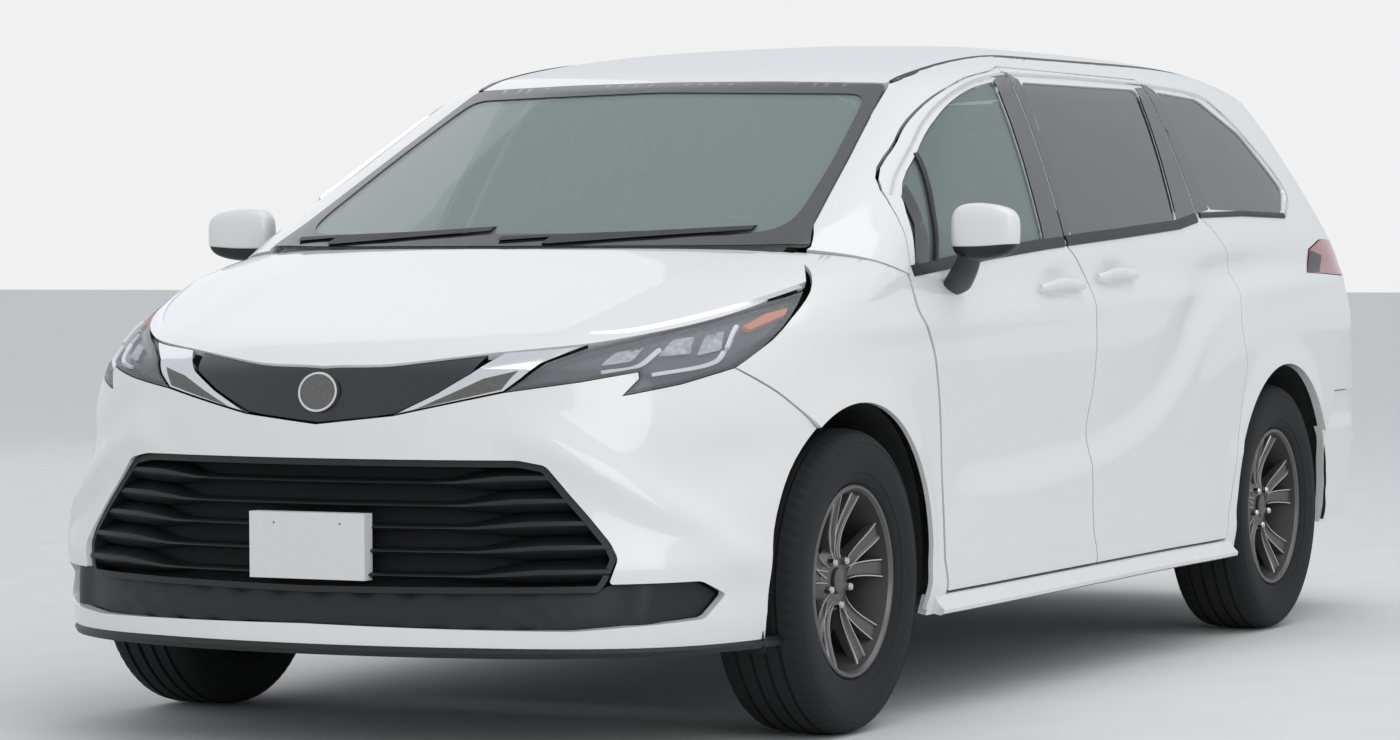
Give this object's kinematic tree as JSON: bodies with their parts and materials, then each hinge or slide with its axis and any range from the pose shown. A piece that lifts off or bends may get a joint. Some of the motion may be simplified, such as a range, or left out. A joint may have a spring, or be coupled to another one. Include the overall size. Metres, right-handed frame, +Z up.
{
  "type": "minivan",
  "caption": "Seven-seat family minivan with hinged front doors, bonnet and tailgate, two sliding side doors, steered front wheels and a hollow cabin.",
  "frame": {"origin": "on the ground under the middle of the vehicle as it stands parked", "axes": "+X points forward, +Y to the left side of the vehicle, +Z up"},
  "size_m": [5.174, 2.3434, 1.74],
  "materials": {
    "paint": "pearl gloss",
    "floor_steel": "satin",
    "black_plastic": "matt",
    "lamp_lens": "gloss",
    "red_lens": "gloss",
    "tinted_glass": "clear green tint",
    "privacy_glass": "dark tint",
    "hinge_steel": "satin",
    "tyre_rubber": "matt",
    "wheel_alloy": "machined and painted",
    "cast_steel": "rough",
    "dash_plastic": "matt",
    "seat_cloth": "woven",
    "frame_steel": "satin",
    "exhaust_steel": "satin",
    "tank_plastic": "matt",
    "plate_blank": "satin"
  },
  "bodies": {
    "body": {"floor_pan": "floor_steel", "body_side_left": "paint", "body_side_right": "paint", "roof": "paint", "door_pillars": "floor_steel", "cowl": "black_plastic", "front_fenders": "paint", "front_bumper": "paint", "front_grille": "black_plastic", "nose_trim": "black_plastic", "headlamps": "lamp_lens", "windshield": "tinted_glass", "wipers": "black_plastic", "sliding_doors": "paint", "rear_side_glass": "privacy_glass", "rear_bumper": "paint", "tail_lamps": "red_lens", "hinge_brackets": "hinge_steel", "front_axle": "cast_steel", "rear_axle": "cast_steel", "wheel_liners": "black_plastic", "dashboard": "dash_plastic", "steering_column": "dash_plastic", "front_seats": "seat_cloth", "middle_seats": "seat_cloth", "rear_bench": "seat_cloth", "seat_frames": "frame_steel", "engine_block": "cast_steel", "exhaust": "exhaust_steel", "fuel_tank": "tank_plastic", "number_plate_bracket": "plate_blank", "jack_pads": "frame_steel"},
    "hood_lid": {"hood": "paint", "hood_hinges": "hinge_steel"},
    "tailgate": {"liftgate": "paint", "liftgate_glass": "privacy_glass", "liftgate_lamps": "red_lens", "liftgate_hinges": "hinge_steel"},
    "door_left": {"front_door_left": "paint", "front_door_glass_left": "tinted_glass", "door_mirror_left": "paint", "door_hinges_left": "hinge_steel"},
    "door_right": {"front_door_right": "paint", "front_door_glass_right": "tinted_glass", "door_mirror_right": "paint", "door_hinges_right": "hinge_steel"},
    "steer_knuckle_left": {"knuckle_left": "cast_steel"},
    "steer_knuckle_right": {"knuckle_right": "cast_steel"},
    "wheel_front_left": {"tyre_front_left": "tyre_rubber", "rim_front_left": "wheel_alloy"},
    "wheel_front_right": {"tyre_front_right": "tyre_rubber", "rim_front_right": "wheel_alloy"},
    "wheel_rear_left": {"tyre_rear_left": "tyre_rubber", "rim_rear_left": "wheel_alloy"},
    "wheel_rear_right": {"tyre_rear_right": "tyre_rubber", "rim_rear_right": "wheel_alloy"},
    "steering": {"steering_wheel": "dash_plastic"}
  },
  "joints": [
    {"name": "hood_hinge", "type": "hinge", "parent": "body", "child": "hood_lid", "pos_m": [1.47, 0, 1.15], "axis": [0, -1, 0], "range_deg": [0, 50]},
    {"name": "liftgate_hinge", "type": "hinge", "parent": "body", "child": "tailgate", "pos_m": [-2.027, 0, 1.621], "axis": [0, 1, 0], "range_deg": [0, 80]},
    {"name": "door_left_hinge", "type": "hinge", "parent": "body", "child": "door_left", "pos_m": [1.065, 0.963, 0.705], "axis": [0, 0, -1], "range_deg": [0, 70]},
    {"name": "door_right_hinge", "type": "hinge", "parent": "body", "child": "door_right", "pos_m": [1.065, -0.963, 0.705], "axis": [0, 0, 1], "range_deg": [0, 70]},
    {"name": "steer_left", "type": "hinge", "parent": "body", "child": "steer_knuckle_left", "pos_m": [1.612, 0.8005, 0.3685], "axis": [0, 0, 1], "range_deg": [-35, 35]},
    {"name": "steer_right", "type": "hinge", "parent": "body", "child": "steer_knuckle_right", "pos_m": [1.612, -0.8005, 0.3685], "axis": [0, 0, 1], "range_deg": [-35, 35]},
    {"name": "wheel_front_left_spin", "type": "hinge", "parent": "steer_knuckle_left", "child": "wheel_front_left", "pos_m": [1.612, 0.8625, 0.3685], "axis": [0, 1, 0], "continuous": true},
    {"name": "wheel_rear_left_spin", "type": "hinge", "parent": "body", "child": "wheel_rear_left", "pos_m": [-1.449, 0.8625, 0.3685], "axis": [0, 1, 0], "continuous": true},
    {"name": "wheel_front_right_spin", "type": "hinge", "parent": "steer_knuckle_right", "child": "wheel_front_right", "pos_m": [1.612, -0.8625, 0.3685], "axis": [0, 1, 0], "continuous": true},
    {"name": "wheel_rear_right_spin", "type": "hinge", "parent": "body", "child": "wheel_rear_right", "pos_m": [-1.449, -0.8625, 0.3685], "axis": [0, 1, 0], "continuous": true},
    {"name": "steering_wheel_spin", "type": "hinge", "parent": "body", "child": "steering", "pos_m": [0.842, 0.385, 0.985], "axis": [-0.9136, 0, 0.4067], "range_deg": [-500, 500]}
  ],
  "couplings": [
    {"joint": "steer_right", "follows": "steer_left", "ratio": 1},
    {"joint": "steering_wheel_spin", "follows": "steer_left", "ratio": 14}
  ]
}
